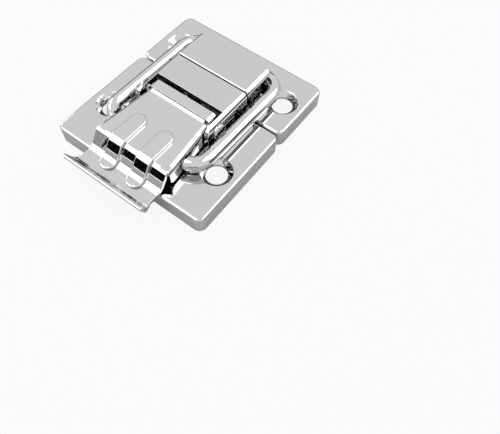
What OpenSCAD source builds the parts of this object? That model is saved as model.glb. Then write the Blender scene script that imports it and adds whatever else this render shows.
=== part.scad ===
// Surface-mounted toggle latch, closed: two drawn mounting pans, a lever in a
// riveted bracket, and a round-wire loop that hooks over the strike pan's catch.
// Units are millimetres. +Z leaves the mounting surface, which is z = 0,
// +Y runs from the lever's finger lip to the strike end, and the origin is the
// centre of the four fixing holes.

/* [Mounting pans] */
// Width of both pans
plate_w = 50; // [48:0.5:54]
// Length of the lever's pan
lever_pan_l = 34.1; // [34:0.1:36]
// Length of the strike pan
strike_pan_l = 21.3; // [21:0.1:24]
// Gap between the closed pans
pan_gap = 0.4; // [0.2:0.1:1]
// Height of a pan above the mounting surface
pan_h = 5.2; // [5.2:0.1:5.4]
// Sheet thickness of the pans
pan_t = 1.2; // [1:0.1:1.3]
// Corner radius of a pan seen from the front
pan_corner_r = 2.2; // [1.8:0.1:3]
// Radius of the drawn edge round the pan's face
pan_edge_r = 0.8; // [0.6:0.1:1.4]
// Distance from the hole pattern's centre to the middle of the gap
parting_y = 4.6; // [4.4:0.1:4.8]

/* [Fixing holes] */
// Distance between the holes across the latch
hole_dx = 37; // [36:0.5:38]
// Distance between the holes along the latch
hole_dy = 30; // [29:0.5:31]
// Diameter of a fixing hole
hole_d = 6; // [5.4:0.1:6.2]
// Diameter of the screw head's sink at the face
sink_d = 9; // [8.4:0.2:9.4]

/* [Bracket] */
// Width over the bracket's ears
bracket_w = 25.2; // [24.6:0.1:26.4]
// Height of the bracket's top face
top_z = 12; // [11.9:0.1:12.1]
// Sheet thickness of the bracket
bracket_t = 1.4; // [1.2:0.1:1.4]
// Outer bend radius where the top turns into the ears
bracket_bend_r = 1.7; // [1.5:0.1:2]
// Near edge of the bracket's top
bracket_near_y = -2.9; // [-2.9:0.1:-2.7]
// Length of the bracket's top
bracket_top_l = 8.9; // [8.6:0.1:9]

/* [Strike hook] */
// Near edge of the hook's top
hook_near_y = 6.5; // [6.4:0.1:6.7]
// Length of the hook's top
hook_top_l = 10.3; // [10:0.1:10.3]
// Sheet thickness of the hook
hook_t = 1.3; // [1.2:0.1:1.3]
// Width of the hook's inner wall
hook_wall_w = 16; // [14:0.5:17]

/* [Lever] */
// Sheet thickness of the lever
lever_t = 1; // [0.9:0.1:1.1]
// Distance of the drop wall's side edge inside the flange's outer face
wall_inset = 0.7; // [0.5:0.1:1.2]
// Distance that the finger lip flares out at each side
lip_flare = 1.4; // [0.6:0.1:1.8]
// Height of the lever's main panel
panel_z = 11; // [10.9:0.05:11.1]
// Outer bend radius along the lever's flanges
flange_bend_r = 1.6; // [1.4:0.1:1.8]
// Angle of the drop wall below the horizontal
wall_angle = 54; // [52:1:56]
// Angle of the finger lip above the horizontal
lip_angle = 60; // [56:1:62]
// Width of a stiffening rib
rib_w = 4.6; // [4:0.1:5]
// Height of a rib over the panel
rib_h = 0.8; // [0.5:0.1:0.9]
// Distance of a rib's middle from the lever's centre line
rib_x = 4.6; // [4.2:0.1:4.8]

/* [Pivots] */
// Height of the lever's pivot
pivot_z = 9; // [8.9:0.05:9.1]
// Position of the lever's pivot along the latch
pivot_y = -6.6; // [-6.7:0.05:-6.5]
// Diameter of the pivot pin
pin_d = 2.8; // [2.4:0.1:2.8]
// Radial clearance of the turning joints
fit_gap = 0.05; // [0.03:0.01:0.08]

/* [Wire loop] */
// Diameter of the loop's wire
wire_d = 4; // [3.6:0.1:4]
// Diameter of the loop's turned-down ends
journal_d = 2.4; // [2:0.1:2.4]
// Centre-line radius of the corners at the lever
near_corner_r = 5; // [4.6:0.1:5]
// Centre-line radius of the corners at the hook
far_corner_r = 5.6; // [5:0.1:5.8]

/* [Closing stop] */
// Width of the stop plate
stop_w = 12.2; // [11:0.2:12.4]
// Thickness of the stop plate
stop_t = 0.9; // [0.7:0.1:0.9]
// Outer diameter of the tubular rivet's barrel
rivet_d = 4.4; // [4:0.1:4.6]

/* [Hidden] */
$fn = 48;
eps = 0.01;

plate_hw = plate_w / 2;
pan_floor_z = pan_h - pan_t;
pan_inner_r = 0.3;
lever_pan_far = parting_y - pan_gap / 2;
lever_pan_near = lever_pan_far - lever_pan_l;
strike_pan_near = parting_y + pan_gap / 2;
hole_r = hole_d / 2;
sink_r = sink_d / 2;
sink_depth = sink_r - hole_r;
collar_r = hole_r + pan_t;
hole_y = hole_dy / 2;

ear_x = bracket_w / 2;
ear_in_x = ear_x - bracket_t;
side_gap = 0.6;
ear_near_y = pivot_y - 4.3;
ear_nose_r = 2.8;
ear_relief = 0.4;
bracket_far_y = bracket_near_y + bracket_top_l;
ear_relief_y = bracket_far_y - 1.8;
foot_gap = 0.1;
foot_tip_x = ear_x - 5.7;
foot_a_y = pivot_y - 0.9;
foot_a_w = 4.7;
foot_b_y = bracket_far_y - 6.1;
foot_b_w = 4.2;

hook_far_y = hook_near_y + hook_top_l;
hook_under_z = top_z - hook_t;
hook_ear_in_x = ear_x - hook_t;
hook_foot_y = hook_near_y + 3.2;
hook_foot_w = 4.4;
hook_wall_far_y = hook_far_y - 1.1;
hook_wall_near_y = hook_wall_far_y - hook_t;
hook_ear_far_y = hook_wall_near_y - 2;
tongue_w = 4.8;
tongue_tip_y = hook_near_y + 2.8;
sight_hole_y = hook_near_y + 2.1;
sight_hole_d = 4.2;

wire_gap = 0.3;
wire_r = wire_d / 2;
bar_y = hook_wall_far_y + wire_gap + wire_r;
bar_z = pan_h + wire_gap + wire_r;
tail_y = pivot_y - 12.7;
tail_z = pivot_z - 0.8;
journal_r = journal_d / 2;
leg_l = sqrt((bar_y - tail_y) * (bar_y - tail_y) + (bar_z - tail_z) * (bar_z - tail_z));
leg_tilt = atan2(bar_z - tail_z, bar_y - tail_y);

pin_r = pin_d / 2;
pin_head_r = 2.3;
pin_head_t = 0.9;
loop_hw = ear_x + pin_head_t + wire_gap + wire_r;

nose_hw = ear_in_x - side_gap;
lever_hw = ear_x - 0.1;
nose_w = 2 * nose_hw;
lever_w = 2 * lever_hw;
lip_w = 2 * (lever_hw - wall_inset);
nose_far_y = pivot_y + 2.1;
nose_near_y = pivot_y - 1;
step_top_y = pivot_y - 0.2;
step_low_y = pivot_y - 1.7;
slit_w = 0.6;
slit_low_z = 10.1;
kink_y = nose_near_y - slit_w;
flange_low_z = pivot_z - 2.9;
bend1_r = 2;
bend1_y = -24.8;
bend1_z = panel_z - bend1_r;
wall_top_y = bend1_y - bend1_r * sin(wall_angle);
wall_top_z = bend1_z + bend1_r * cos(wall_angle);
scoop_z = pan_h + 1.1;
bend2_r = 3;
bend2_z = scoop_z + bend2_r;
wall_drop = wall_top_z - (bend2_z - bend2_r * cos(wall_angle));
wall_l = wall_drop / sin(wall_angle);
wall_low_y = wall_top_y - wall_l * cos(wall_angle);
bend2_y = wall_low_y - bend2_r * sin(wall_angle);
flat_l = 2.5;
bend3_r = 2;
bend3_y = bend2_y - flat_l;
bend3_z = scoop_z + bend3_r;
lip_low_y = bend3_y - bend3_r * sin(lip_angle);
lip_low_z = bend3_z - bend3_r * cos(lip_angle);
lip_l = 2.4;
lip_tip_y = lip_low_y - lip_l * cos(lip_angle);
lip_tip_z = lip_low_z + lip_l * sin(lip_angle);
lip_corner_r = 1;
flange_front_y = bend1_y - 0.8;
flange_fillet = 1.5;
flange_run = kink_y - flange_front_y;
flange_tilt = atan2(lever_hw - nose_hw, flange_run);
flange_tail_x = nose_hw + (kink_y - tail_y) * tan(flange_tilt);
wire_end_x = flange_tail_x + 0.55;
journal_in_x = flange_tail_x - lever_t - 1.3;
rib_hw = rib_w / 2;
rib_far_y = -16;
rib_near_y = bend2_y - 1.8;
rib_groove_w = rib_w - 2 * lever_t;

recess_w = stop_w + 2.8;
recess_far_y = -16.7;
recess_near_y = -25.8;
recess_rise = 0.6;
window_w = stop_w + 1.6;
window_far_y = -13.5;
stop_near_y = -23.5;
stop_far_y = -13.7;
stop_gap = 0.3;
stop_top_z = panel_z - lever_t - stop_gap;
stop_low_z = pan_floor_z + recess_rise - stop_t;
rivet_y = -20.3;
rivet_r = rivet_d / 2;
rivet_bore_r = rivet_r - 0.6;
rivet_flange_r = rivet_r + 0.9;
rivet_flange_t = 0.7;
notch_w = 2.2;
notch_h = 2.2;

// Runs its children once as they are and once mirrored left to right.
module both_sides() {
    children();
    mirror([1, 0, 0]) children();
}

// Turns an outline drawn in Y and Z into a slab of width w centred on X.
module slab_x(w) {
    translate([-w / 2, 0, 0])
        rotate([90, 0, 90])
            linear_extrude(w)
                children();
}

// Section of a block with both upper edges rounded: half width hw, height h.
module round_top_section(hw, h, r) {
    translate([-hw, 0]) square([2 * hw, h - r]);
    translate([-hw + r, 0]) square([2 * (hw - r), h]);
    translate([-hw + r, h - r]) circle(r);
    translate([hw - r, h - r]) circle(r);
}

// Right half of the same section, for turning into a corner.
module round_corner_section(corner, h, r) {
    square([corner, h - r]);
    square([corner - r, h]);
    intersection() {
        translate([corner - r, h - r]) circle(r);
        square([corner, h]);
    }
}

// Block w by l by h with rounded corners and a rounded upper rim.
module pressed_block(w, l, h, corner, r) {
    translate([0, l / 2 - corner, 0])
        rotate([90, 0, 0])
            linear_extrude(l - 2 * corner)
                round_top_section(w / 2, h, r);
    translate([-w / 2 + corner, 0, 0])
        rotate([90, 0, 90])
            linear_extrude(w - 2 * corner)
                round_top_section(l / 2, h, r);
    for (sx = [-1, 1]) {
        for (sy = [-1, 1]) {
            translate([sx * (w / 2 - corner), sy * (l / 2 - corner), 0])
                rotate_extrude()
                    round_corner_section(corner, h, r);
        }
    }
}

// Drawn shell of even thickness, open underneath, from near_y to near_y + l.
module pan_shell(near_y, l) {
    inner_w = plate_w - 2 * pan_t;
    inner_l = l - 2 * pan_t;
    translate([0, near_y + l / 2, 0]) {
        difference() {
            pressed_block(plate_w, l, pan_h, pan_corner_r, pan_edge_r);
            translate([0, 0, -1])
                pressed_block(inner_w, inner_l, pan_floor_z + 1, pan_corner_r - pan_t, pan_inner_r);
        }
    }
}

// Outside of the dimple under a fixing hole, down to the mounting surface.
module collar_solid() {
    cylinder(h = pan_h - pan_t / 2, r = collar_r);
    translate([0, 0, pan_floor_z - sink_depth])
        cylinder(h = sink_depth + pan_t / 2, r1 = collar_r, r2 = collar_r + sink_depth + pan_t / 2);
}

// Countersunk fixing hole to be cut through a pan and its collar.
module collar_hole() {
    translate([0, 0, -1]) cylinder(h = pan_h + 2, r = hole_r);
    translate([0, 0, pan_h - sink_depth]) cylinder(h = sink_depth, r1 = hole_r, r2 = sink_r);
    translate([0, 0, pan_h - eps]) cylinder(h = 1, r = sink_r);
}

// Slot in a pan's face for a clinched foot of the given width.
module foot_slot(y, w, inner_x) {
    translate([inner_x - foot_gap, y - w / 2 - foot_gap, pan_floor_z - 1])
        cube([ear_x - inner_x + 2 * foot_gap, w + 2 * foot_gap, pan_t + 2]);
}

// Foot that drops through its slot and folds inwards with a round tip.
module clinched_foot(y, w, t) {
    tip_r = w / 2;
    bend_x = ear_x - t;
    translate([bend_x, y - w / 2, pan_floor_z]) cube([t, w, pan_t + 0.5]);
    translate([foot_tip_x + tip_r, y - w / 2, pan_floor_z - t])
        cube([bend_x - foot_tip_x - tip_r, w, t]);
    translate([foot_tip_x + tip_r, y, pan_floor_z - t]) cylinder(h = t, r = tip_r);
    intersection() {
        translate([bend_x, y + w / 2, pan_floor_z])
            rotate([90, 0, 0])
                cylinder(h = w, r = t);
        translate([bend_x, y - w, pan_floor_z - 2 * t]) cube([2 * t, 2 * w, 2 * t]);
    }
}

// Low pad that carries the stop plate's recess.
module recess_pad() {
    pad_far = recess_far_y + pan_t / 2;
    pad_near = recess_near_y - pan_t / 2;
    translate([0, (pad_far + pad_near) / 2, pan_floor_z])
        pressed_block(recess_w + pan_t, pad_far - pad_near, pan_t + recess_rise, 1.8, 0.5);
}

// Recess pressed into the underside and the window beside it.
module recess_cut() {
    recess_l = recess_far_y - recess_near_y;
    translate([0, recess_near_y + recess_l / 2, pan_floor_z - 1])
        pressed_block(recess_w, recess_l, 1 + recess_rise, 1.2, 0.3);
    translate([-window_w / 2, recess_far_y, pan_floor_z - 1])
        cube([window_w, window_far_y - recess_far_y, pan_t + 3]);
    translate([0, rivet_y, pan_floor_z - 1]) cylinder(h = pan_t + 3, r = rivet_r);
}

// Larger pan, screwed to the body: carries the bracket and the stop plate.
module lever_pan() {
    color([0.75, 0.76, 0.78]) {
        difference() {
            union() {
                pan_shell(lever_pan_near, lever_pan_l);
                both_sides() translate([hole_dx / 2, -hole_y, 0]) collar_solid();
                recess_pad();
            }
            both_sides() {
                translate([hole_dx / 2, -hole_y, 0]) collar_hole();
                foot_slot(foot_a_y, foot_a_w, ear_in_x);
                foot_slot(foot_b_y, foot_b_w, ear_in_x);
            }
            recess_cut();
        }
    }
}

// Smaller pan, screwed to the lid: carries the hook.
module strike_pan() {
    color([0.75, 0.76, 0.78]) {
        difference() {
            union() {
                pan_shell(strike_pan_near, strike_pan_l);
                both_sides() translate([hole_dx / 2, hole_y, 0]) collar_solid();
            }
            both_sides() {
                translate([hole_dx / 2, hole_y, 0]) collar_hole();
                foot_slot(hook_foot_y, hook_foot_w, hook_ear_in_x);
                translate([ear_in_x - 0.8, strike_pan_near - 1, -1])
                    cube([notch_w, pan_t + 2, notch_h + 1]);
            }
            translate([-tongue_w / 2 - foot_gap, hook_wall_near_y - foot_gap, pan_floor_z - 1])
                cube([tongue_w + 2 * foot_gap, hook_t + 2 * foot_gap, pan_t + 2]);
            translate([0, sight_hole_y, pan_floor_z - 1])
                cylinder(h = pan_t + 2, r = sight_hole_d / 2);
        }
    }
}

// Side view of a bracket ear: square under the top, rounded about the pivot.
module ear_outline() {
    translate([pivot_y, pan_h]) square([ear_relief_y - pivot_y, top_z - pan_h]);
    translate([ear_relief_y - eps, pan_h + ear_relief])
        square([bracket_far_y - ear_relief_y + eps, top_z - pan_h - ear_relief]);
    translate([ear_near_y, pan_h]) square([pivot_y - ear_near_y + eps, top_z - ear_nose_r - pan_h]);
    translate([ear_near_y + ear_nose_r, pan_h])
        square([pivot_y - ear_near_y - ear_nose_r + eps, top_z - pan_h]);
    translate([ear_near_y + ear_nose_r, top_z - ear_nose_r]) circle(ear_nose_r);
}

// Sheet channel, open underneath, extruded from y0 to y1.
module channel(hw, t, r, z_top, z_low, y0, y1) {
    translate([0, y1, 0]) {
        rotate([90, 0, 0]) {
            linear_extrude(y1 - y0) {
                difference() {
                    translate([0, z_low]) round_top_section(hw, z_top - z_low, r);
                    translate([0, z_low - 1]) round_top_section(hw - t, z_top - z_low - t + 1, r - t);
                }
            }
        }
    }
}

// Inverted channel over the lever's nose, clinched to the pan by four feet.
module lever_bracket() {
    color([0.72, 0.73, 0.75]) {
        difference() {
            union() {
                intersection() {
                    channel(ear_x, bracket_t, bracket_bend_r, top_z, pan_h, ear_near_y, bracket_far_y);
                    slab_x(bracket_w + 2) ear_outline();
                }
                both_sides() {
                    clinched_foot(foot_a_y, foot_a_w, bracket_t);
                    clinched_foot(foot_b_y, foot_b_w, bracket_t);
                }
            }
            translate([-ear_in_x, ear_near_y - 1, top_z - bracket_t - 1])
                cube([2 * ear_in_x, bracket_near_y - ear_near_y + 1, bracket_t + 2]);
            translate([-ear_x - 1, pivot_y, pivot_z])
                rotate([0, 90, 0])
                    cylinder(h = bracket_w + 2, r = pin_r);
        }
    }
}

// Side view of the hook's strip: top, fold, inner leaf and hooking wall.
module hook_outline() {
    fold_y = hook_near_y + hook_t;
    leaf_z = hook_under_z - hook_t;
    translate([fold_y, hook_under_z]) square([hook_far_y - fold_y, hook_t]);
    translate([fold_y, leaf_z]) square([hook_wall_near_y - fold_y, hook_t]);
    translate([hook_wall_near_y, pan_h]) square([hook_t, leaf_z - pan_h]);
    intersection() {
        translate([fold_y, hook_under_z]) circle(hook_t);
        translate([fold_y - 2 * hook_t, hook_under_z - 2 * hook_t]) square([2 * hook_t, 4 * hook_t]);
    }
    intersection() {
        translate([hook_wall_near_y, leaf_z]) circle(hook_t);
        translate([hook_wall_near_y, leaf_z]) square([2 * hook_t, 2 * hook_t]);
    }
}

// Catch for the wire loop: doubled top, two ears and a wall with a tongue.
module strike_hook() {
    fold_y = hook_near_y + hook_t;
    tip_r = tongue_w / 2;
    color([0.72, 0.73, 0.75]) {
        slab_x(hook_wall_w) hook_outline();
        intersection() {
            channel(ear_x, hook_t, hook_t + 0.3, top_z, pan_h, hook_near_y, hook_far_y);
            union() {
                translate([-ear_x - 1, fold_y, hook_under_z])
                    cube([bracket_w + 2, hook_far_y - fold_y, hook_t + 1]);
                translate([-ear_x - 1, fold_y, pan_h])
                    cube([bracket_w + 2, hook_ear_far_y - fold_y, top_z]);
                translate([-ear_x - 1, fold_y, hook_under_z])
                    rotate([0, 90, 0])
                        cylinder(h = bracket_w + 2, r = hook_t);
            }
        }
        both_sides() clinched_foot(hook_foot_y, hook_foot_w, hook_t);
        translate([-tongue_w / 2, hook_wall_near_y, pan_floor_z]) cube([tongue_w, hook_t, pan_t + 0.5]);
        translate([-tongue_w / 2, tongue_tip_y + tip_r, pan_floor_z - hook_t])
            cube([tongue_w, hook_wall_near_y - tongue_tip_y - tip_r, hook_t]);
        translate([0, tongue_tip_y + tip_r, pan_floor_z - hook_t]) cylinder(h = hook_t, r = tip_r);
        intersection() {
            translate([-tongue_w / 2, hook_wall_near_y, pan_floor_z])
                rotate([0, 90, 0])
                    cylinder(h = tongue_w, r = hook_t);
            translate([-tongue_w, hook_wall_near_y, pan_floor_z - 2 * hook_t])
                cube([2 * tongue_w, 2 * hook_t, 2 * hook_t]);
        }
    }
}

// Pie slice for cutting a ring down to the angle between a0 and a1.
module wedge(r, a0, a1) {
    reach = 2 * r;
    polygon([[0, 0], [reach * cos(a0), reach * sin(a0)],
             [reach * cos((a0 + a1) / 2) * 1.5, reach * sin((a0 + a1) / 2) * 1.5],
             [reach * cos(a1), reach * sin(a1)]]);
}

// Bent part of a sheet: ring between r_in and r_out from angle a0 to a1.
module bend_ring(y, z, r_in, r_out, a0, a1) {
    translate([y, z]) {
        intersection() {
            difference() {
                circle(r_out);
                circle(r_in);
            }
            wedge(r_out, a0, a1);
        }
    }
}

// Straight part of a sheet: from y, z along angle a for l, sheet below by t.
module straight_run(y, z, a, l, t, lift) {
    translate([y, z]) rotate(a) translate([-0.02, -lift]) square([l + 0.04, t + lift]);
}

// Side view of the drop wall, the scoop and the finger lip.
// lift raises the outer face, for the ribs; t is the depth below the face.
module front_outline(lift, t) {
    translate([bend1_y - 0.02, panel_z - t]) square([1.02, t + lift]);
    bend_ring(bend1_y, bend1_z, bend1_r - t, bend1_r + lift, 90, 90 + wall_angle);
    straight_run(wall_top_y, wall_top_z, 180 + wall_angle, wall_l, t, lift);
    bend_ring(bend2_y, bend2_z, bend2_r - lift, bend2_r + t, 270, 270 + wall_angle);
}

// Rest of the side view, from the scoop's flat to the rounded lip edge.
module lip_outline() {
    translate([bend3_y - 0.02, scoop_z - lever_t]) square([flat_l + 0.04, lever_t]);
    bend_ring(bend3_y, bend3_z, bend3_r, bend3_r + lever_t, 270 - lip_angle, 270);
    straight_run(lip_low_y, lip_low_z, 180 - lip_angle, lip_l, lever_t, 0);
    translate([lip_tip_y - lever_t / 2 * sin(lip_angle), lip_tip_z - lever_t / 2 * cos(lip_angle)])
        circle(lever_t / 2);
}

// Plan view of the drop wall and the lip, which flares to rounded corners.
module lip_plan() {
    tip_y = lip_tip_y - lever_t;
    tip_hw = lip_w / 2 + lip_flare;
    flare_y = bend3_y + 0.3;
    translate([-lip_w / 2, flare_y - eps]) square([lip_w, bend1_y + 4 - flare_y]);
    polygon([[-lip_w / 2, flare_y], [lip_w / 2, flare_y],
             [tip_hw, tip_y + lip_corner_r], [-tip_hw, tip_y + lip_corner_r]]);
    translate([-tip_hw + lip_corner_r, tip_y]) square([2 * (tip_hw - lip_corner_r), lip_corner_r + eps]);
    translate([-tip_hw + lip_corner_r, tip_y + lip_corner_r]) circle(lip_corner_r);
    translate([tip_hw - lip_corner_r, tip_y + lip_corner_r]) circle(lip_corner_r);
}

// Right flange of the widening part with its bend, straight from the kink.
module flange_side() {
    translate([nose_hw, kink_y, 0]) {
        rotate([0, 0, flange_tilt]) {
            translate([0, 1, 0]) {
                rotate([90, 0, 0]) {
                    linear_extrude(flange_run + 3) {
                        translate([-lever_t, flange_low_z]) square([lever_t, panel_z - flange_bend_r - flange_low_z]);
                        bend_ring(-flange_bend_r, panel_z - flange_bend_r,
                                  flange_bend_r - lever_t, flange_bend_r, 0, 90);
                        translate([-flange_bend_r - 1.5, panel_z - lever_t]) square([1.5 + eps, lever_t]);
                    }
                }
            }
        }
    }
}

// Side view that trims both flanges, with a round end about the pivot.
module flange_outline() {
    translate([flange_front_y + flange_fillet, flange_low_z])
        square([pivot_y - flange_front_y - flange_fillet, top_z - flange_low_z]);
    translate([flange_front_y, flange_low_z + flange_fillet])
        square([flange_fillet + eps, top_z - flange_low_z - flange_fillet]);
    translate([flange_front_y + flange_fillet, flange_low_z + flange_fillet]) circle(flange_fillet);
    translate([pivot_y, pivot_z]) circle(pivot_z - flange_low_z);
    translate([pivot_y, pivot_z]) square([nose_far_y - pivot_y, top_z - pivot_z]);
}

// Raised rib from the panel over the front bend and down the drop wall.
module rib() {
    run_y = rib_far_y - rib_hw;
    sink = 0.3;
    translate([rib_x, 0, 0]) {
        slab_x(rib_w) {
            translate([bend1_y - 0.02, panel_z - sink]) square([run_y - bend1_y + 0.02, rib_h + sink]);
            front_outline(rib_h, sink);
            translate([rib_near_y + rib_hw, scoop_z - sink])
                square([bend2_y - rib_near_y - rib_hw + eps, rib_h + sink]);
        }
        translate([0, run_y, panel_z - sink]) cylinder(h = rib_h + sink, r = rib_hw);
        translate([0, rib_near_y + rib_hw, scoop_z - sink]) cylinder(h = rib_h + sink, r = rib_hw);
    }
}

// Hollow of the rib on the lever's underside.
module rib_groove() {
    run_y = rib_far_y - rib_hw;
    translate([rib_x, 0, 0]) {
        translate([-rib_groove_w / 2, bend1_y, panel_z - lever_t - 1])
            cube([rib_groove_w, run_y - bend1_y, rib_h + 1]);
        translate([0, run_y, panel_z - lever_t - 1]) cylinder(h = rib_h + 1, r = rib_groove_w / 2);
    }
}

// Operating lever, one pressed sheet from the stepped nose to the finger lip.
module lever() {
    flat_hw = nose_hw - flange_bend_r;
    front_hw = lever_hw - flange_bend_r;
    color([0.78, 0.79, 0.81]) {
        difference() {
            union() {
                intersection() {
                    channel(nose_hw, lever_t, flange_bend_r, top_z, flange_low_z - 1, nose_near_y, pivot_y + 4);
                    slab_x(nose_w + 2) flange_outline();
                }
                intersection() {
                    union() {
                        both_sides() flange_side();
                        both_sides()
                            translate([nose_hw - lever_t, kink_y - 0.4, flange_low_z])
                                cube([lever_t, nose_near_y - kink_y + 0.5, slit_low_z - flange_low_z]);
                    }
                    slab_x(lever_w + 4) flange_outline();
                    translate([-lever_w, bend1_y - 2, 0]) cube([2 * lever_w, nose_near_y - bend1_y + 2, top_z]);
                }
                translate([0, 0, panel_z - lever_t])
                    linear_extrude(lever_t)
                        polygon([[-flat_hw - 0.4, kink_y], [flat_hw + 0.4, kink_y],
                                 [front_hw + 0.2, bend1_y], [-front_hw - 0.2, bend1_y]]);
                slab_x(2 * flat_hw)
                    polygon([[nose_near_y + 1.5, top_z], [step_top_y, top_z], [step_low_y, panel_z],
                             [step_low_y - 0.5, panel_z], [step_low_y - 0.5, panel_z - lever_t],
                             [step_low_y - 0.3, panel_z - lever_t], [step_top_y + 0.3, top_z - lever_t],
                             [nose_near_y + 1.5, top_z - lever_t]]);
                intersection() {
                    slab_x(lip_w + 2 * lip_flare) {
                        front_outline(0, lever_t);
                        lip_outline();
                    }
                    linear_extrude(top_z + pan_h) lip_plan();
                }
                both_sides() rib();
            }
            both_sides() rib_groove();
            both_sides()
                translate([flat_hw, nose_near_y - slit_w, slit_low_z])
                    cube([lever_w, slit_w, 5]);
            translate([-flat_hw, nose_near_y - slit_w - 2, panel_z])
                cube([2 * flat_hw, step_low_y - nose_near_y + slit_w + 2, 2]);
            translate([-nose_w, pivot_y, pivot_z])
                rotate([0, 90, 0])
                    cylinder(h = 2 * nose_w, r = pin_r + fit_gap);
            translate([-lever_w, tail_y, tail_z])
                rotate([0, 90, 0])
                    cylinder(h = 2 * lever_w, r = journal_r + fit_gap);
        }
    }
}

// Domed rivet head of the pivot pin, standing on z = 0.
module pin_head() {
    rotate_extrude() {
        square([pin_head_r, 0.3]);
        square([pin_head_r - 0.6, pin_head_t]);
        intersection() {
            translate([pin_head_r - 0.6, 0.3]) circle(0.6);
            square([pin_head_r, pin_head_t]);
        }
    }
}

// Pivot pin, riveted over on both ears.
module pivot_pin() {
    color([0.8, 0.81, 0.82]) {
        translate([-ear_x, pivot_y, pivot_z])
            rotate([0, 90, 0])
                cylinder(h = bracket_w, r = pin_r);
        both_sides() translate([ear_x, pivot_y, pivot_z]) rotate([0, 90, 0]) pin_head();
    }
}

// Quarter of a wire bend about (cx, cy), starting at angle a0.
module wire_corner(cx, cy, r, a0) {
    translate([cx, cy, 0])
        rotate([0, 0, a0])
            rotate_extrude(angle = 90)
                translate([r, 0]) circle(wire_r);
}

// Loop of round wire; its turned-down ends spring into the lever's flanges.
module wire_loop() {
    straight_near = near_corner_r;
    straight_far = leg_l - far_corner_r;
    color([0.8, 0.81, 0.83]) {
        translate([0, tail_y, tail_z]) {
            rotate([leg_tilt, 0, 0]) {
                both_sides() {
                    translate([loop_hw, straight_near, 0])
                        rotate([-90, 0, 0])
                            cylinder(h = straight_far - straight_near, r = wire_r);
                    intersection() {
                        wire_corner(loop_hw - near_corner_r, near_corner_r, near_corner_r, 270);
                        translate([wire_end_x, -loop_hw, -loop_hw]) cube([loop_hw, 2 * loop_hw, 2 * loop_hw]);
                    }
                    wire_corner(loop_hw - far_corner_r, straight_far, far_corner_r, 0);
                }
                translate([-loop_hw + far_corner_r, leg_l, 0])
                    rotate([0, 90, 0])
                        cylinder(h = 2 * (loop_hw - far_corner_r), r = wire_r);
            }
            both_sides()
                translate([journal_in_x, 0, 0])
                    rotate([0, 90, 0])
                        cylinder(h = wire_end_x + 0.6 - journal_in_x, r = journal_r);
        }
    }
}

// Plate riveted into the recess, turned up through the window as a stop.
module stop_plate() {
    plate_far = stop_far_y - stop_t;
    color([0.7, 0.71, 0.72]) {
        difference() {
            union() {
                translate([-stop_w / 2, stop_near_y, stop_low_z])
                    cube([stop_w, plate_far - stop_near_y, stop_t]);
                translate([-stop_w / 2, plate_far, stop_low_z + stop_t])
                    cube([stop_w, stop_t, stop_top_z - stop_low_z - stop_t]);
                intersection() {
                    translate([-stop_w / 2, plate_far, stop_low_z + stop_t])
                        rotate([0, 90, 0])
                            cylinder(h = stop_w, r = stop_t);
                    translate([-stop_w, plate_far, stop_low_z]) cube([2 * stop_w, stop_t, stop_t]);
                }
            }
            translate([0, rivet_y, stop_low_z - 1]) cylinder(h = stop_t + 2, r = rivet_r);
        }
    }
}

// Hollow rivet that holds the stop plate, rolled over at both ends.
module tube_rivet() {
    back_z = stop_low_z;
    front_z = pan_h + recess_rise;
    color([0.8, 0.8, 0.8]) {
        translate([0, rivet_y, 0]) {
            rotate_extrude() {
                translate([rivet_bore_r, back_z - rivet_flange_t])
                    square([rivet_r - rivet_bore_r, front_z - back_z + 2 * rivet_flange_t]);
                intersection() {
                    union() {
                        translate([rivet_flange_r - rivet_flange_t, back_z]) circle(rivet_flange_t);
                        translate([rivet_bore_r, back_z - rivet_flange_t])
                            square([rivet_flange_r - rivet_flange_t - rivet_bore_r, rivet_flange_t]);
                    }
                    translate([0, back_z - rivet_flange_t]) square([rivet_flange_r, rivet_flange_t]);
                }
                intersection() {
                    union() {
                        translate([rivet_flange_r - rivet_flange_t, front_z]) circle(rivet_flange_t);
                        translate([rivet_bore_r, front_z])
                            square([rivet_flange_r - rivet_flange_t - rivet_bore_r, rivet_flange_t]);
                    }
                    translate([0, front_z]) square([rivet_flange_r, rivet_flange_t]);
                }
            }
        }
    }
}

lever_pan();
strike_pan();
lever_bracket();
strike_hook();
lever();
pivot_pin();
wire_loop();
stop_plate();
tube_rivet();
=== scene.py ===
"""Looks of a closed surface-mounted toggle latch in polished plated steel."""

import logging
import math
from collections.abc import Callable
from dataclasses import dataclass
from enum import Enum

import bpy
from mathutils import Matrix, Vector
from mathutils.bvhtree import BVHTree


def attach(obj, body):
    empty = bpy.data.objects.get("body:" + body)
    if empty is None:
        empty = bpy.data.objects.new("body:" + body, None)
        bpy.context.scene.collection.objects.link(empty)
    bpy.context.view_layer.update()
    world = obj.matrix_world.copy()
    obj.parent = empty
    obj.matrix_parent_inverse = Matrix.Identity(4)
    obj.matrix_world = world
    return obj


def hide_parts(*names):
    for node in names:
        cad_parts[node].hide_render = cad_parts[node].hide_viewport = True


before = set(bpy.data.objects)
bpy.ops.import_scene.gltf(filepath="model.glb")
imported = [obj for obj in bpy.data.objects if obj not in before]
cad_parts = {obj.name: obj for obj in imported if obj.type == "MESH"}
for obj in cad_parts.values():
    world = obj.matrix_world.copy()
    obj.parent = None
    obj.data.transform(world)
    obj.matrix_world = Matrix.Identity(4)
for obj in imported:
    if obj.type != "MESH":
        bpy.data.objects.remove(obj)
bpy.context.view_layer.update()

MM = 0.001
log = logging.getLogger("toggle_latch")


class Plating(Enum):
    """How bright the plating of a piece is, as the metal's reflectance."""

    BRIGHT = 0.60
    SHEET = 0.585
    DULL = 0.50
    # Darker than any plating: partly duller sheared steel, partly painted shade that darkens the
    # gaps at cut ends and outlines the lever's ribs.
    SHEARED = 0.30


class Tone(Enum):
    """Grey values of the studio's floor and cards."""

    FLOOR = 0.42
    DARK_CARD = 0.006
    GREY_CARD = 0.50


# Work on meshes

def clear_selection() -> None:
    """Deselects every object."""
    bpy.ops.object.select_all(action="DESELECT")


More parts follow.
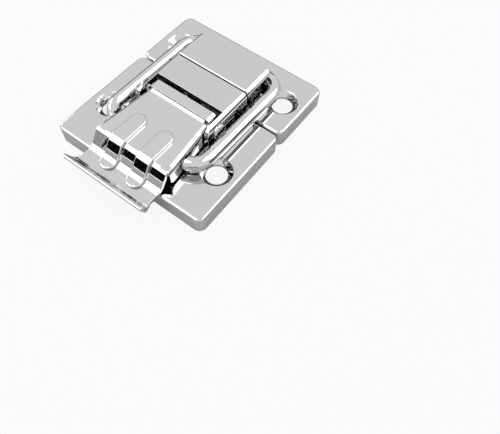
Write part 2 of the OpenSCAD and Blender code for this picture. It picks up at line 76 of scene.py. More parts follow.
def activate(piece: bpy.types.Object) -> None:
    """Selects one object alone and makes it active.

    Args:
        piece: the object.
    """
    clear_selection()
    piece.select_set(True)
    bpy.context.view_layer.objects.active = piece


def copy_mesh(name: str, mesh: bpy.types.Mesh) -> bpy.types.Object:
    """Puts a copy of a mesh into the scene as an object of its own.

    Args:
        name: name of the new object.
        mesh: the mesh that is copied.

    Returns:
        The new object, not yet selected.
    """
    piece = bpy.data.objects.new(name, mesh.copy())
    bpy.context.scene.collection.objects.link(piece)
    return piece


def select_points(piece: bpy.types.Object, chosen: list[bool]) -> None:
    """Selects some points of a piece, and the edges and faces between them.

    Args:
        piece: the piece, in object mode.
        chosen: for each point, whether it is selected.
    """
    mesh = piece.data
    mesh.vertices.foreach_set("select", chosen)
    for parts in (mesh.edges, mesh.polygons):
        parts.foreach_set("select", [all(chosen[i] for i in part.vertices) for part in parts])


def merge_points(piece: bpy.types.Object, distance: float) -> None:
    """Makes points of a piece that nearly touch into one.

    Args:
        piece: the piece.
        distance: how far apart such points are at most, in millimetres.
    """
    activate(piece)
    bpy.ops.object.mode_set(mode="EDIT")
    bpy.ops.mesh.select_all(action="SELECT")
    bpy.ops.mesh.remove_doubles(threshold=distance * MM)
    bpy.ops.object.mode_set(mode="OBJECT")


def round_selected(radius: float, steps: int) -> None:
    """Rounds the selected edges of the active piece.

    Args:
        radius: radius of the rounding in millimetres.
        steps: facets across the rounding.
    """
    bpy.ops.object.mode_set(mode="EDIT")
    bpy.ops.mesh.bevel(offset=radius * MM, segments=steps, affect="EDGES")
    bpy.ops.object.mode_set(mode="OBJECT")


def combine(
    piece: bpy.types.Object, tool: bpy.types.Object, operation: str, layered: bool = False
) -> None:
    """Adds a tool shape to a piece or cuts it away, and removes the tool.

    Args:
        piece: the piece that is changed.
        tool: the closed shape that is added or cut away.
        operation: the boolean operation, "UNION" or "DIFFERENCE".
        layered: whether the piece has layers that touch each other.
    """
    activate(piece)
    boolean = piece.modifiers.new("combine", "BOOLEAN")
    boolean.operation = operation
    boolean.solver = "EXACT"
    boolean.object = tool
    boolean.use_self = layered
    boolean.use_hole_tolerant = layered
    bpy.ops.object.modifier_apply(modifier=boolean.name)
    bpy.data.objects.remove(tool)


def even_normals(piece: bpy.types.Object, angle: float = 30.0) -> None:
    """Smooths the shading of bends while flat faces stay flat.

    Args:
        piece: the piece to finish.
        angle: largest angle between faces that shades smooth, in degrees.
    """
    activate(piece)
    bpy.ops.object.shade_smooth_by_angle(angle=math.radians(angle))
    weigh = piece.modifiers.new("even_normals", "WEIGHTED_NORMAL")
    weigh.mode = "FACE_AREA"
    weigh.keep_sharp = True
    bpy.ops.object.modifier_apply(modifier=weigh.name)


# Materials

def grey(value: float) -> tuple[float, float, float, float]:
    """A neutral colour with full alpha."""
    return (value, value, value, 1.0)


def dress(piece: bpy.types.Object, material: bpy.types.Material) -> None:
    """Gives a piece one material in place of what it has."""
    piece.data.materials.clear()
    piece.data.materials.append(material)


def add_finish(piece: bpy.types.Object, material: bpy.types.Material) -> int:
    """Adds a further material to a piece and gives its index there."""
    piece.data.materials.append(material)
    return len(piece.data.materials) - 1


def matt(name: str, tone: Tone, roughness: float) -> bpy.types.Material:
    """Makes a material without gloss for the studio's surfaces.

    Args:
        name: name of the material.
        tone: its grey.
        roughness: its roughness.

    Returns:
        The material.
    """
    material = bpy.data.materials.new(name)
    material.use_nodes = True
    shader = material.node_tree.nodes["Principled BSDF"]
    shader.inputs["Base Color"].default_value = grey(tone.value)
    shader.inputs["Roughness"].default_value = roughness
    shader.inputs["Specular IOR Level"].default_value = 0.0
    return material


def reckon(
    tree: bpy.types.NodeTree, operation: str, *values: bpy.types.NodeSocket | float
) -> bpy.types.NodeSocket:
    """Adds a Math node.

    Args:
        tree: the node tree that it goes into.
        operation: what the node does.
        values: for each input in turn, another node's output or a number.

    Returns:
        The node's output.
    """
    node = tree.nodes.new("ShaderNodeMath")
    node.operation = operation
    for socket, value in zip(node.inputs, values):
        if isinstance(value, float):
            socket.default_value = value
        else:
            tree.links.new(value, socket)
    return node.outputs[0]


def remap(
    tree: bpy.types.NodeTree, value: bpy.types.NodeSocket,
    source: tuple[float, float], target: tuple[float, float]
) -> bpy.types.NodeSocket:
    """Adds a Map Range node.

    Args:
        tree: the node tree that it goes into.
        value: the output that it takes.
        source: lowest and highest value that are taken.
        target: what these two become.

    Returns:
        The node's output.
    """
    node = tree.nodes.new("ShaderNodeMapRange")
    names = ("From Min", "From Max", "To Min", "To Max")
    for name, number in zip(names, source + target):
        node.inputs[name].default_value = number
    tree.links.new(value, node.inputs["Value"])
    return node.outputs[0]


def noise(
    tree: bpy.types.NodeTree, vector: bpy.types.NodeSocket, scale: float, detail: float
) -> bpy.types.NodeSocket:
    """Adds a noise texture.

    Args:
        tree: the node tree that it goes into.
        vector: the coordinates that it reads.
        scale: fineness of the noise.
        detail: how many finer layers it has.

    Returns:
        The noise's value.
    """
    node = tree.nodes.new("ShaderNodeTexNoise")
    node.inputs["Scale"].default_value = scale
    node.inputs["Detail"].default_value = detail
    tree.links.new(vector, node.inputs["Vector"])
    return node.outputs[0]


@dataclass(frozen=True)
class PolishPattern:
    """Fine unevenness of polished plating, shared by every finish.

    Attributes:
        cloud_scale: fineness of the soft clouds, per metre.
        cloud_detail: finer layers in the clouds.
        line_scale: fineness of the polishing lines along x, y and z, per metre.
        line_detail: finer layers in the lines.
        tone: share of the metal's tone in the darkest and palest clouds.
        line_range: values of the lines between which the haze changes.
        haze: share of a finish's haze at these two values.
    """

    cloud_scale: float = 55.0
    cloud_detail: float = 3.0
    line_scale: tuple[float, float, float] = (260.0, 9000.0, 2600.0)
    line_detail: float = 2.0
    tone: tuple[float, float] = (0.985, 1.0)
    line_range: tuple[float, float] = (0.3, 0.75)
    haze: tuple[float, float] = (0.55, 1.0)

    def group(self) -> bpy.types.NodeTree:
        """Builds the shader group.

        Returns:
            The group with inputs Haze and Ripple, and outputs Tone, Roughness
            and Height.
        """
        group = bpy.data.node_groups.new("polished_plating", "ShaderNodeTree")
        for in_out, names in (("INPUT", ("Haze", "Ripple")),
                              ("OUTPUT", ("Tone", "Roughness", "Height"))):
            for name in names:
                group.interface.new_socket(name, in_out=in_out, socket_type="NodeSocketFloat")
        source = group.nodes.new("NodeGroupInput").outputs
        target = group.nodes.new("NodeGroupOutput").inputs
        place = group.nodes.new("ShaderNodeTexCoord").outputs["Object"]
        stretch = group.nodes.new("ShaderNodeMapping")
        stretch.inputs["Scale"].default_value = self.line_scale
        group.links.new(place, stretch.inputs["Vector"])

        cloud = noise(group, place, self.cloud_scale, self.cloud_detail)
        lines = noise(group, stretch.outputs[0], 1.0, self.line_detail)
        tone = remap(group, cloud, (0.0, 1.0), self.tone)
        haze = remap(group, lines, self.line_range, self.haze)
        group.links.new(tone, target["Tone"])
        group.links.new(reckon(group, "MULTIPLY", haze, source["Haze"]), target["Roughness"])
        group.links.new(reckon(group, "MULTIPLY", cloud, source["Ripple"]), target["Height"])
        return group


@dataclass(frozen=True)
class PlatedSteel:
    """Finish of one kind of plated steel.

    Attributes:
        name: name of the material.
        plating: how bright the plating is.
        haze: roughness where the polish is least even.
        ripple: share of the clouds' height in the faint ripple of the surface.
        ripple_height: height of the ripple in millimetres.
        ripple_strength: how much of it shows.
    """

    name: str
    plating: Plating
    haze: float
    ripple: float = 0.5
    ripple_height: float = 0.02
    ripple_strength: float = 0.02

    def material(self, group: bpy.types.NodeTree) -> bpy.types.Material:
        """Builds the material.

        Args:
            group: the shared group that varies the polish.

        Returns:
            The finished material.
        """
        material = bpy.data.materials.new(self.name)
        material.use_nodes = True
        tree = material.node_tree
        shader = tree.nodes["Principled BSDF"]
        shader.inputs["Metallic"].default_value = 1.0
        polish = tree.nodes.new("ShaderNodeGroup")
        polish.node_tree = group
        polish.inputs["Haze"].default_value = self.haze
        polish.inputs["Ripple"].default_value = self.ripple
        tint = tree.nodes.new("ShaderNodeMix")
        tint.data_type = "RGBA"
        tint.blend_type = "MULTIPLY"
        tint.inputs["Factor"].default_value = 1.0
        tint.inputs["A"].default_value = grey(self.plating.value)
        tree.links.new(polish.outputs["Tone"], tint.inputs["B"])
        tree.links.new(tint.outputs["Result"], shader.inputs["Base Color"])
        tree.links.new(polish.outputs["Roughness"], shader.inputs["Roughness"])
        bump = tree.nodes.new("ShaderNodeBump")
        bump.inputs["Strength"].default_value = self.ripple_strength
        bump.inputs["Distance"].default_value = self.ripple_height * MM
        tree.links.new(polish.outputs["Height"], bump.inputs["Height"])
        tree.links.new(bump.outputs["Normal"], shader.inputs["Normal"])
        return material


class Finish(Enum):
    """The finishes of the latch."""

    PAN = PlatedSteel("plated_pan_sheet", Plating.SHEET, 0.045)
    BRACKET = PlatedSteel("plated_bracket_sheet", Plating.SHEET, 0.05)
    LEVER = PlatedSteel("plated_lever_sheet", Plating.BRIGHT, 0.045)
    WIRE = PlatedSteel("plated_loop_wire", Plating.BRIGHT, 0.06)
    PIN = PlatedSteel("plated_pin_steel", Plating.DULL, 0.08)
    STRIP = PlatedSteel("plated_strip", Plating.DULL, 0.08)
    TUBE = PlatedSteel("plated_tube", Plating.DULL, 0.09)
    # Darker and rougher finish: partly duller sheared steel, partly painted shade in the gaps at
    # cut ends and on the lever's rib walls.
    SHEARED = PlatedSteel("sheared_edge_and_painted_shade", Plating.SHEARED, 0.42)


# The studio

@dataclass(frozen=True)
class Softbox:
    """One soft lamp: where it stands, its size and its power."""

    name: str
    place: tuple[float, float, float]
    size: tuple[float, float]
    power: float


@dataclass(frozen=True)
class Card:
    """One card beside the set: its middle, size, heading in degrees and tone."""

    name: str
    place: tuple[float, float, float]
    size: tuple[float, float]
    heading: float
    tone: Tone = Tone.DARK_CARD


@dataclass(frozen=True)
class Studio:
    """Pale floor, white surroundings, soft lamps, cards and the camera.

    Attributes (in metres and degrees, the lens and sensor in millimetres):
        floor_half: half of the floor's side.
        floor_drop: how far the floor lies under the mounting surface.
        floor_roughness: roughness of the floor.
        floor_seen: share of plain white where the camera sees the floor.
        floor_mirrored: share of plain white where metal mirrors it.
        daylight: strength of the white surroundings where they give light.
        aim: the point that the lamps face.
        camera_place: where the camera stands.
        camera_azimuth: its turn round the latch.
        camera_elevation: its height over the floor's plane as an angle.
        camera_roll: its tilt to one side.
        camera_lens: focal length.
        camera_sensor: width of the picture on the sensor.
        camera_clip: nearest and furthest distance that it sees.
        lamps: the softboxes.
        cards: the cards that the metal mirrors.
    """

    floor_half: float = 3.0
    floor_drop: float = 0.00002
    floor_roughness: float = 0.9
    floor_seen: float = 0.9
    floor_mirrored: float = 0.1
    daylight: float = 0.75
    aim: tuple[float, float, float] = (0.0, -0.004, 0.006)
    camera_place: tuple[float, float, float] = (0.0680, -0.0729, 0.1161)
    camera_azimuth: float = 33.472
    camera_elevation: float = 60.514
    camera_roll: float = 3.522
    camera_lens: float = 37.24
    camera_sensor: float = 36.0
    camera_clip: tuple[float, float] = (0.005, 20.0)
    lamps: tuple[Softbox, ...] = (
        Softbox("front_softbox", (-0.30, -0.30, 0.50), (0.52, 0.80), 2.5),
        Softbox("right_softbox", (0.27, 0.32, 0.51), (0.52, 0.62), 2.0),
        Softbox("left_softbox", (-0.70, 0.08, 0.34), (0.30, 0.30), 0.70),
    )
    cards: tuple[Card, ...] = (
        Card("near_card", (-0.232, -0.535, 0.125), (0.19, 0.19), -23.4),
        Card("near_grey_card", (-0.373, -0.450, 0.105), (0.14, 0.21), -39.7, Tone.GREY_CARD),
        Card("right_card", (0.60, 0.20, 0.125), (0.38, 0.23), 108.4),
        Card("front_right_card", (0.31, -0.50, 0.045), (0.36, 0.08), 31.8),
        Card("far_card", (-0.29, 0.55, 0.11), (0.36, 0.20), 27.8),
        Card("left_card", (-0.54, 0.29, 0.09), (0.34, 0.17), 61.8),
    )

    def camera(self) -> None:
        """Places the camera at the photograph's viewing angle."""
        bpy.ops.object.camera_add()
        camera = bpy.context.object
        camera.name = "photo_camera"
        turn = (
            Matrix.Rotation(math.radians(self.camera_azimuth), 4, "Z")
            @ Matrix.Rotation(math.radians(90.0 - self.camera_elevation), 4, "X")
            @ Matrix.Rotation(math.radians(self.camera_roll), 4, "Z")
        )
        camera.matrix_world = Matrix.Translation(self.camera_place) @ turn
        camera.data.sensor_width = self.camera_sensor
        camera.data.lens = self.camera_lens
        camera.data.clip_start, camera.data.clip_end = self.camera_clip
        bpy.context.scene.camera = camera

    def floor(self) -> None:
        """Lays the plain pale floor under the mounting surface."""
        bpy.ops.mesh.primitive_plane_add(
            size=2 * self.floor_half, location=(0, 0, -self.floor_drop))
        floor = bpy.context.object
        floor.name = "studio_floor"
        material = matt("pale_floor", Tone.FLOOR, self.floor_roughness)
        tree = material.node_tree
        path = tree.nodes.new("ShaderNodeLightPath").outputs
        straight = reckon(tree, "MAXIMUM", path["Is Camera Ray"], path["Is Transmission Ray"])
        seen = reckon(tree, "MULTIPLY", straight, self.floor_seen)
        share = reckon(tree, "MULTIPLY_ADD", path["Is Glossy Ray"], self.floor_mirrored, seen)
        white = tree.nodes.new("ShaderNodeEmission")
        white.inputs["Color"].default_value = grey(1.0)
        white.inputs["Strength"].default_value = 1.0
        mix = tree.nodes.new("ShaderNodeMixShader")
        tree.links.new(share, mix.inputs["Fac"])
        tree.links.new(tree.nodes["Principled BSDF"].outputs[0], mix.inputs[1])
        tree.links.new(white.outputs[0], mix.inputs[2])
        tree.links.new(mix.outputs[0], tree.nodes["Material Output"].inputs["Surface"])
        dress(floor, material)

    def surroundings(self) -> None:
        """Sets the world: white where it is seen or mirrored, softer as light."""
        world = bpy.data.worlds.new("studio_white")
        bpy.context.scene.world = world
        world.use_nodes = True
        tree = world.node_tree
        tree.nodes.clear()
        path = tree.nodes.new("ShaderNodeLightPath").outputs
        seen = reckon(tree, "MAXIMUM", path["Is Camera Ray"], path["Is Glossy Ray"])
        through = reckon(tree, "MAXIMUM", seen, path["Is Transmission Ray"])
        strength = remap(tree, through, (0.0, 1.0), (self.daylight, 1.0))
        background = tree.nodes.new("ShaderNodeBackground")
        background.inputs["Color"].default_value = grey(1.0)
        tree.links.new(strength, background.inputs["Strength"])
        output = tree.nodes.new("ShaderNodeOutputWorld")
        tree.links.new(background.outputs[0], output.inputs["Surface"])

    def lamp(self, box: Softbox) -> None:
        """Hangs one softbox, aimed at the latch.

        Args:
            box: the softbox.
        """
        bpy.ops.object.light_add(type="AREA", location=box.place)
        lamp = bpy.context.object
        lamp.name = box.name
        lamp.data.shape = "RECTANGLE"
        lamp.data.size, lamp.data.size_y = box.size
        lamp.data.energy = box.power
        heading = Vector(self.aim) - Vector(box.place)
        lamp.rotation_euler = heading.to_track_quat("-Z", "Y").to_euler()

    def card(self, card: Card) -> None:
        """Stands one card beside the set, seen only in what the metal mirrors.

        Args:
            card: the card.
        """
        bpy.ops.mesh.primitive_plane_add(size=1.0, location=card.place)
        sheet = bpy.context.object
        sheet.name = card.name
        sheet.scale = (*card.size, 1.0)
        sheet.rotation_euler = (math.pi / 2, 0.0, math.radians(card.heading))
        dress(sheet, matt(card.name + "_cloth", card.tone, 1.0))
        sheet.visible_camera = False
        sheet.visible_diffuse = False
        sheet.visible_shadow = False

    def build(self) -> None:
        """Builds the whole studio."""
        clear_selection()
        self.camera()
        self.floor()
        self.surroundings()
        for box in self.lamps:
            self.lamp(box)
        for card in self.cards:
            self.card(card)
        bpy.context.scene.view_settings.view_transform = "Standard"
        log.info("studio: floor, surroundings, lamps, cards and camera")


# The latch

@dataclass(frozen=True)
class EdgeBreak:
    """Small rounding on the cut edges of a piece.

    Attributes:
        width: width of the rounding in millimetres.
        segments: facets across the rounding.
        limit: smallest angle between faces that counts as an edge, in degrees.
    """

    width: float
    segments: int = 3
    limit: float = 32.0


@dataclass(frozen=True)
class ShearedEnd:
    """One sheared end of a folded sheet, dressed in the darker finish: partly duller sheared
    steel, partly painted shade in the gap before it.

    Attributes:
        place: where the end face stands along the latch, in millimetres.
        reach: how far the darker finish, sheared steel with painted shade, runs from there, in
            millimetres.
        facing: smallest share of the end's direction in a face that has it.
    """

    place: float
    reach: float = 0.02
    facing: float = 0.99


@dataclass(frozen=True)
class PressedPart:
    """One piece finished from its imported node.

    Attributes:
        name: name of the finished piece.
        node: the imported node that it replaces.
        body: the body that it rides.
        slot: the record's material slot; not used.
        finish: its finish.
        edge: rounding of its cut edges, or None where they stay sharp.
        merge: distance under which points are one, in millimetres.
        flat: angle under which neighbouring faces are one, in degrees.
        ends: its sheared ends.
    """

    name: str
    node: str
    body: str
    slot: str
    finish: Finish
    edge: EdgeBreak | None = None
    merge: float = 0.001
    flat: float = 0.6
    ends: tuple[ShearedEnd, ...] = ()

    def blank(self) -> bpy.types.Object:
        """Copies the node's mesh and merges its loose triangles.

        Returns:
            The new object, selected and active.
        """
        piece = copy_mesh(self.name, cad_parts[self.node].data)
        merge_points(piece, self.merge)
        return piece

    def shape(self, piece: bpy.types.Object) -> None:
        """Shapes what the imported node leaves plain; a plain piece needs nothing."""

    def knit(self, piece: bpy.types.Object) -> None:
        """Joins flat neighbours into single faces.

        Args:
            piece: the piece, in its final shape but for its edges.
        """
        activate(piece)
        bpy.ops.object.mode_set(mode="EDIT")
        bpy.ops.mesh.select_all(action="SELECT")
        bpy.ops.mesh.dissolve_limited(angle_limit=math.radians(self.flat))
        bpy.ops.object.mode_set(mode="OBJECT")

    def break_edges(self, piece: bpy.types.Object) -> None:
        """Rounds the cut edges and keeps every point inside the unrounded form.

        Args:
            piece: the piece, with whole flat faces.
        """
        if self.edge is None:
            return
        form = copy_mesh(self.name + "_form", piece.data)
        activate(piece)
        bevel = piece.modifiers.new("edge_break", "BEVEL")
        bevel.width = self.edge.width * MM
        bevel.segments = self.edge.segments
        bevel.limit_method = "ANGLE"
        bevel.angle_limit = math.radians(self.edge.limit)
        bevel.use_clamp_overlap = False
        bevel.loop_slide = False
        bevel.miter_outer = "MITER_ARC"
        bpy.ops.object.modifier_apply(modifier=bevel.name)
        hold = piece.modifiers.new("hold_form", "SHRINKWRAP")
        hold.wrap_method = "NEAREST_SURFACEPOINT"
        hold.wrap_mode = "INSIDE"
        hold.target = form
        bpy.ops.object.modifier_apply(modifier=hold.name)
        bpy.data.objects.remove(form)

    def dress_rough_and_shade(self, piece: bpy.types.Object, material: bpy.types.Material) -> None:
        """Gives the sheared ends, where the piece has any, a darker and rougher finish: partly
        duller sheared steel, partly painted shade that darkens the gaps at these ends.

        Args:
            piece: the piece, dressed with its main finish.
            material: the darker finish, sheared steel with painted shade.
        """
        if not self.ends:
            return
        rough_and_shade_index = add_finish(piece, material)
        for face in piece.data.polygons:
            for end in self.ends:
                near = abs(face.center.y / MM - end.place) < end.reach
                if near and abs(face.normal.y) > end.facing:
                    face.material_index = rough_and_shade_index

    def build(self, materials: dict[Finish, bpy.types.Material]) -> None:
        """Makes the finished piece in place of its node.

        Args:
            materials: the material of each finish.
        """
        piece = self.blank()
        self.shape(piece)
        self.knit(piece)
        self.break_edges(piece)
        even_normals(piece)
        dress(piece, materials[self.finish])
        # The darker finish on sheared ends and rib walls is partly duller sheared steel, partly
        # painted shade.
        self.dress_rough_and_shade(piece, materials[Finish.SHEARED])
        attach(piece, self.body)
        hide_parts(self.node)
        log.info("%s: %d faces", self.name, len(piece.data.polygons))


@dataclass(frozen=True)
class PanSheet(PressedPart):
    """A mounting pan; its screw dimples end just under the sheet.

    Attributes (all in millimetres, and a number of facets):
        hole_x: distance of the holes from the middle.
        hole_y: place of the holes along the latch.
        dimple_low: height of a dimple's lower end.
        cut_r: radius that takes the whole dimple in.
        cut_low: how far the cut starts under the mounting surface.
        cut_steps: facets round the cut.
    """

    hole_x: float = 18.5
    hole_y: float = 15.0
    dimple_low: float = 3.2
    cut_r: float = 5.1
    cut_low: float = 1.0
    cut_steps: int = 72

    def shape(self, piece: bpy.types.Object) -> None:
        """Trims the dimples to the depth of the pressed sheet.

        Args:
            piece: the merged copy of the pan.
        """
        depth = self.dimple_low + self.cut_low
        for side in (-1, 1):
            clear_selection()
            bpy.ops.mesh.primitive_cylinder_add(
                vertices=self.cut_steps, radius=self.cut_r * MM, depth=depth * MM,
                location=(side * self.hole_x * MM, self.hole_y * MM,
                          (depth / 2 - self.cut_low) * MM))
            combine(piece, bpy.context.object, "DIFFERENCE")


@dataclass(frozen=True)
class HookSheet(PressedPart):
    """The strike's hook; its doubled top is hemmed tightly at the near end.

    Attributes (all in millimetres, and numbers of facets):
        half: half of the hem's width over the side folds.
        low: height at which the hem's block ends.
        high: height of its top.
        near: place of the hem's near face.
        far: where the plain top begins.
        fold_r: outer radius of the side folds.
        fold_steps: facets across a side fold.
        hem_r: outer radius of the hem.
        hem_steps: facets across the hem.
        slack: how far off a place a point may be and still count as there.
        seam: distance under which the points of block and hook are one.
    """

    half: float = 12.59
    low: float = 10.45
    high: float = 11.99
    near: float = 6.51
    far: float = 7.9
    fold_r: float = 1.566
    fold_steps: int = 11
    hem_r: float = 0.5
    hem_steps: int = 6
    slack: float = 0.01
    seam: float = 0.02

    def block(self) -> bpy.types.Object:
        """Adds the hem's block, still square.

        Returns:
            The block, selected and active.
        """
        clear_selection()
        bpy.ops.mesh.primitive_cube_add(
            size=1.0,
            location=(0.0, (self.near + self.far) / 2 * MM, (self.low + self.high) / 2 * MM),
            scale=(2 * self.half * MM, (self.far - self.near) * MM, (self.high - self.low) * MM))
        bpy.ops.object.transform_apply(location=True, rotation=True, scale=True)
        return bpy.context.object

    def in_side_fold(self, one: Vector, two: Vector) -> bool:
        """Tells whether the edge between two points runs along the latch at the top."""
        return min(one.z, two.z) > self.high - self.slack and abs(one.y - two.y) > self.slack

    def in_hem(self, one: Vector, two: Vector) -> bool:
        """Tells whether the edge between two points is on the near face, off its foot."""
        return (max(one.y, two.y) < self.near + self.slack
                and max(one.z, two.z) > self.low + self.slack)

    def round_edges(self, hem: bpy.types.Object, chosen: Callable[[Vector, Vector], bool],
                    radius: float, steps: int) -> None:
        """Rounds some edges of the hem's block.

        Args:
            hem: the block, active.
            chosen: whether the edge between two points, in millimetres, is rounded.
            radius: radius of the rounding in millimetres.
            steps: facets across the rounding.
        """
        mesh = hem.data
        select_points(hem, [False] * len(mesh.vertices))
        for edge in mesh.edges:
            one, two = (mesh.vertices[i].co / MM for i in edge.vertices)
            if chosen(one, two):
                edge.select = True
                for i in edge.vertices:
                    mesh.vertices[i].select = True
        bpy.context.tool_settings.mesh_select_mode = (False, True, False)
        round_selected(radius, steps)
        bpy.context.tool_settings.mesh_select_mode = (True, False, False)

    def shape(self, piece: bpy.types.Object) -> None:
        """Draws the hem's upper corner out to its tight radius.

        Args:
            piece: the merged copy of the hook.
        """
        hem = self.block()
        self.round_edges(hem, self.in_side_fold, self.fold_r, self.fold_steps)
        self.round_edges(hem, self.in_hem, self.hem_r, self.hem_steps)
        combine(piece, hem, "UNION", layered=True)
        merge_points(piece, self.seam)


@dataclass(frozen=True)
class LeverSheet(PressedPart):
    """The operating lever, with two ribs pressed in and bent with the sheet.

    Attributes (all in millimetres and degrees, and numbers of facets):
        panel_z: height of the main panel.
        rib_x: distance of a rib's middle from the centre line.
        rib_w: width of a rib.
        rib_h: height of a rib over the sheet.
        rib_out: how far a rounded rib's walls stand outside that width.
        rib_round: rounding of a rib's upper rim.
        rib_round_steps: facets across that rounding.
        rib_sink: depth of a rib's root below the sheet's face.
        rib_far: far end of the ribs on the panel.
        rib_foot: length of the ribs past the scoop's bend.
        rib_steps: facets round both ends of a rib.
        clear_out: how much wider than a rib its clearing cut is on each side.
        clear_sink: depth of that cut below the sheet's face.
        clear_over: height of the cut over the rib's top.
        slack: how far off a place a point may be and still count as there.
        hinge_slack: the same at a hinge line.
        fold_y: start of the bend over the front edge.
        fold_r: radius of that bend at the outer face.
        scoop_r: radius of the bend into the scoop at the upper face.
        wall_l: straight length of the drop wall.
        wall_angle: angle of the drop wall.
        fold_steps: hinges in each bend.
        shade_reach: how close to a rib's wall its painted shade runs.
        shade_facing: smallest share of the wall's direction in a face that has it.
        shade_facet: side of a square as large as the largest facet that gives it.
    """

    panel_z: float = 11.0
    rib_x: float = 4.6
    rib_w: float = 4.6
    rib_h: float = 0.8
    rib_out: float = 0.09
    rib_round: float = 0.42
    rib_round_steps: int = 6
    rib_sink: float = 0.31
    rib_far: float = -16.0
    rib_foot: float = 1.8
    rib_steps: int = 64
    clear_out: float = 0.05
    clear_sink: float = 0.03
    clear_over: float = 0.4
    slack: float = 0.01
    hinge_slack: float = 0.0005
    fold_y: float = -24.8
    fold_r: float = 2.0
    scoop_r: float = 3.0
    wall_l: float = 3.262
    wall_angle: float = 54.0
    fold_steps: int = 14
    shade_reach: float = 0.06
    shade_facing: float = 0.3
    shade_facet: float = 0.8

    def hinges(self) -> list[tuple[float, float]]:
        """Lists the hinge lines on the flat blank.

        Returns:
            For each hinge, its place along the blank and its turn in degrees,
            from the panel to the lip.
        """
        turn = self.wall_angle / self.fold_steps
        step = math.radians(turn)
        lines = [(self.fold_y - self.fold_r * step * (i + 0.5), -turn)
                 for i in range(self.fold_steps)]
        scoop = self.fold_y - self.fold_r * step * self.fold_steps - self.wall_l
        lines += [(scoop - self.scoop_r * step * (i + 0.5), turn)
                  for i in range(self.fold_steps)]
        return lines

    def blank_end(self) -> float:
        """Gives the near end of the ribs on the flat blank."""
        arc = math.radians(self.wall_angle) * (self.fold_r + self.scoop_r)
        return self.fold_y - arc - self.wall_l - self.rib_foot

    def fold(self, blank: bpy.types.Object) -> None:
        """Bends a flat piece over the front edge and back into the scoop.

        Args:
            blank: the flat piece, at the height of the panel.
        """
        activate(blank)
        lines = self.hinges()
        bpy.ops.object.mode_set(mode="EDIT")
        for place, _ in lines:
            bpy.ops.mesh.select_all(action="SELECT")
            bpy.ops.mesh.bisect(plane_co=(0.0, place * MM, 0.0), plane_no=(0.0, 1.0, 0.0))
        bpy.ops.object.mode_set(mode="OBJECT")
        flat = [vertex.co.y / MM for vertex in blank.data.vertices]
        for place, turn in reversed(lines):
            select_points(blank, [y < place - self.hinge_slack for y in flat])
            bpy.ops.object.mode_set(mode="EDIT")
            bpy.ops.transform.rotate(
                value=math.radians(turn), orient_axis="X", orient_type="GLOBAL",
                center_override=(0.0, place * MM, self.panel_z * MM))
            bpy.ops.object.mode_set(mode="OBJECT")

    def stadium(self, side: int, half: float, low: float, high: float) -> bpy.types.Object:
        """Makes a flat block with round ends where a rib lies on the blank.

        Args:
            side: -1 or 1, the side of the lever.
            half: half of the block's width in millimetres.
            low: depth of its underside below the sheet's face.
            high: height of its top over the sheet's face.

        Returns:
            The block, still flat.
        """
        centre = self.rib_far - self.rib_w / 2
        run = self.rib_far - self.blank_end() - self.rib_w
        height = low + high
        clear_selection()
        bpy.ops.mesh.primitive_cylinder_add(
            vertices=self.rib_steps, radius=half * MM, depth=height * MM,
            location=(side * self.rib_x * MM, centre * MM, (self.panel_z - low + height / 2) * MM),
            rotation=(0.0, 0.0, math.pi / self.rib_steps))
        block = bpy.context.object
        bpy.ops.object.transform_apply(location=True, rotation=True, scale=True)
        select_points(block, [vertex.co.y < centre * MM for vertex in block.data.vertices])
        bpy.ops.object.mode_set(mode="EDIT")
        bpy.ops.transform.translate(value=(0.0, -run * MM, 0.0))
        bpy.ops.object.mode_set(mode="OBJECT")
        return block

    def clear_rib(self, piece: bpy.types.Object, side: int) -> None:
        """Takes the square-edged rib off one side of the copy.

        Args:
            piece: the merged copy of the lever.
            side: -1 or 1, the side of the lever.
        """
        half = self.rib_w / 2 + self.clear_out
        cutter = self.stadium(side, half, self.clear_sink, self.rib_h + self.clear_over)
        self.fold(cutter)
        combine(piece, cutter, "DIFFERENCE")

    def press_rib(self, piece: bpy.types.Object, side: int) -> None:
        """Presses one rib with a rounded rim and round ends into the sheet.

        Args:
            piece: the copy, clear of its square-edged rib.
            side: -1 or 1, the side of the lever.
        """
        rib = self.stadium(side, self.rib_w / 2 + self.rib_out, self.rib_sink, self.rib_h)
        top = (self.panel_z + self.rib_h - self.slack) * MM
        select_points(rib, [vertex.co.z > top for vertex in rib.data.vertices])
        round_selected(self.rib_round, self.rib_round_steps)
        self.fold(rib)
        combine(piece, rib, "UNION")

    def shape(self, piece: bpy.types.Object) -> None:
        """Gives the lever its two rounded ribs.

        Args:
            piece: the merged copy of the lever.
        """
        for side in (-1, 1):
            self.clear_rib(piece, side)
            self.press_rib(piece, side)

    def dress_rough_and_shade(self, piece: bpy.types.Object, material: bpy.types.Material) -> None:
        """Paints shade on the ribs' walls in the bends and round their ends with the darker
        sheared finish, as dark outlines of the ribs.

        Args:
            piece: the finished lever.
            material: the darker finish that paints the shade.
        """
        rough_and_shade_index = add_finish(piece, material)
        largest = (self.shade_facet * MM) ** 2
        for side in (-1, 1):
            wall = self.stadium(
                side, self.rib_w / 2 + self.rib_out, 0.0, self.rib_h - self.rib_round)
            self.fold(wall)
            tree = BVHTree.FromPolygons(
                [vertex.co for vertex in wall.data.vertices],
                [list(face.vertices) for face in wall.data.polygons
                 if len(face.vertices) == 4 and face.area < largest])
            for face in piece.data.polygons:
                _, normal, _, _ = tree.find_nearest(face.center, self.shade_reach * MM)
                if normal is not None and abs(normal.dot(face.normal)) > self.shade_facing:
                    face.material_index = rough_and_shade_index
            bpy.data.objects.remove(wall)


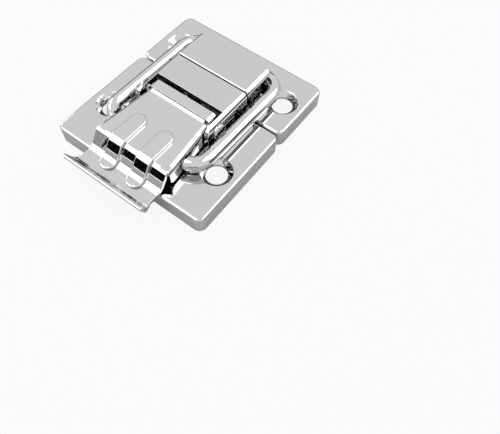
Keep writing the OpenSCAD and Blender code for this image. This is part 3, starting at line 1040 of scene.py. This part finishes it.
@dataclass(frozen=True)
class Latch:
    """The latch's pieces.

    Attributes (in millimetres):
        sheet_edge: rounding of flat-cut sheet edges.
        lever_edge: rounding of the lever's edges.
        folded_edge: rounding of the edges of folded sheet.
        pan_merge: distance under which points of a pan are one.
        lever_merge: the same for the lever.
        near_holes: place of the larger pan's holes along the latch.
        bracket_ends: the bracket's sheared ends.
        hook_ends: the hook's sheared ends.
    """

    sheet_edge: EdgeBreak = EdgeBreak(0.12)
    lever_edge: EdgeBreak = EdgeBreak(0.08)
    folded_edge: EdgeBreak = EdgeBreak(0.07)
    pan_merge: float = 0.012
    lever_merge: float = 0.0065
    near_holes: float = -15.0
    bracket_ends: tuple[ShearedEnd, ...] = (ShearedEnd(-2.9), ShearedEnd(6.0))
    hook_ends: tuple[ShearedEnd, ...] = (ShearedEnd(6.5), ShearedEnd(16.8, 0.1, 0.3))

    def parts(self) -> tuple[PressedPart, ...]:
        """Lists the pieces in the order that they are made.

        Returns:
            The nine pieces.
        """
        return (
            PanSheet("lever_pan_sheet", "lever_pan", "base", "plated_pan", Finish.PAN,
                     self.sheet_edge, self.pan_merge, hole_y=self.near_holes),
            PanSheet("strike_pan_sheet", "strike_pan", "base", "plated_pan", Finish.PAN,
                     self.sheet_edge, self.pan_merge),
            PressedPart("bracket_sheet", "lever_bracket", "base", "plated_bracket",
                        Finish.BRACKET, self.folded_edge, ends=self.bracket_ends),
            HookSheet("hook_sheet", "strike_hook", "base", "plated_bracket",
                      Finish.BRACKET, self.folded_edge, ends=self.hook_ends),
            LeverSheet("lever_sheet", "lever", "lever", "plated_lever", Finish.LEVER,
                       self.lever_edge, self.lever_merge),
            PressedPart("pin_steel", "pivot_pin", "base", "plated_pin", Finish.PIN),
            PressedPart("loop_wire", "wire_loop", "loop", "plated_wire", Finish.WIRE),
            PressedPart("stop_strip", "stop_plate", "base", "plated_stop", Finish.STRIP,
                        self.sheet_edge),
            PressedPart("rivet_tube", "tube_rivet", "base", "plated_rivet", Finish.TUBE),
        )

    def build(self) -> None:
        """Builds and dresses every piece."""
        group = PolishPattern().group()
        materials = {finish: finish.value.material(group) for finish in Finish}
        for part in self.parts():
            part.build(materials)


def main() -> None:
    """Builds the studio and the latch in order."""
    logging.basicConfig(level=logging.INFO, format="%(message)s")
    Studio().build()
    Latch().build()


if __name__ == "__main__":
    main()
